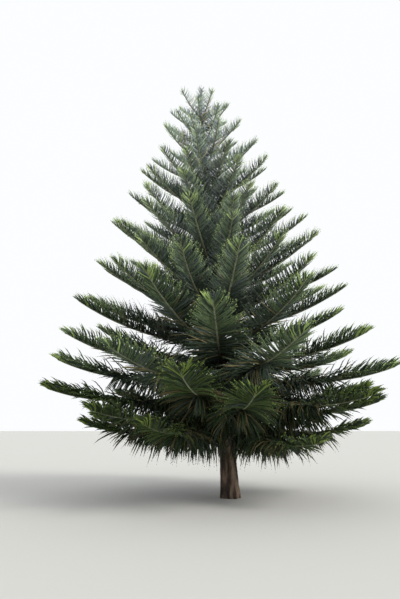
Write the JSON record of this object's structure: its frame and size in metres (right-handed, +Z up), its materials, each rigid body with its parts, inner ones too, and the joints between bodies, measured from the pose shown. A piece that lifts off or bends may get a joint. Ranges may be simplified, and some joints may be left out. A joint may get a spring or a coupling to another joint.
{
  "type": "norfolk island pine tree",
  "caption": "Whole young Norfolk Island pine with a leaning tapered trunk and regular whorls of rising, feather-like fronds of foliage almost down to the ground.",
  "frame": {"origin": "middle of the flat cut under the trunk, at ground level", "axes": "+Z up, -Y towards the place that the picture was taken from, +X to its right"},
  "size_m": [6.6023, 6.6236, 8.52],
  "materials": {
    "trunk_bark": "rough furrowed flaky bark",
    "bough_bark": "rough bark of young boughs",
    "foliage": "matt dark green needles",
    "new_growth": "fresh yellow-green needles"
  },
  "bodies": {
    "root": {"bough_01_1": "bough_bark", "bough_01_2": "bough_bark", "bough_01_3": "bough_bark", "bough_01_4": "bough_bark", "bough_01_5": "bough_bark", "bough_01_6": "bough_bark", "bough_02_1": "bough_bark", "bough_02_2": "bough_bark", "bough_02_3": "bough_bark", "bough_02_4": "bough_bark", "bough_02_5": "bough_bark", "bough_02_6": "bough_bark", "bough_03_1": "bough_bark", "bough_03_2": "bough_bark", "bough_03_3": "bough_bark", "bough_03_4": "bough_bark", "bough_03_5": "bough_bark", "bough_03_6": "bough_bark", "foliage_01_1": "foliage", "foliage_01_2": "foliage", "foliage_01_3": "foliage", "foliage_01_4": "foliage", "foliage_01_5": "foliage", "foliage_01_6": "foliage", "foliage_02_1": "foliage", "foliage_02_2": "foliage", "foliage_02_3": "foliage", "foliage_02_4": "foliage", "foliage_02_5": "foliage", "foliage_02_6": "foliage", "foliage_03_1": "foliage", "foliage_03_2": "foliage", "foliage_03_3": "foliage", "foliage_03_4": "foliage", "foliage_03_5": "foliage", "foliage_03_6": "foliage", "foliage_leader": "new_growth", "foliage_whorl_04": "foliage", "foliage_whorl_05": "foliage", "foliage_whorl_06": "foliage", "foliage_whorl_07": "foliage", "foliage_whorl_08": "foliage", "foliage_whorl_09": "foliage", "foliage_whorl_10": "foliage", "foliage_whorl_11": "foliage", "foliage_whorl_12": "foliage", "foliage_whorl_13": "foliage", "foliage_whorl_14": "foliage", "foliage_whorl_15": "foliage", "foliage_whorl_16": "foliage", "foliage_whorl_17": "foliage", "foliage_whorl_18": "foliage", "foliage_whorl_19": "foliage", "foliage_whorl_20": "foliage", "foliage_whorl_21": "foliage", "foliage_whorl_22": "foliage", "foliage_whorl_23": "foliage", "trunk": "trunk_bark"}
  },
  "joints": []
}
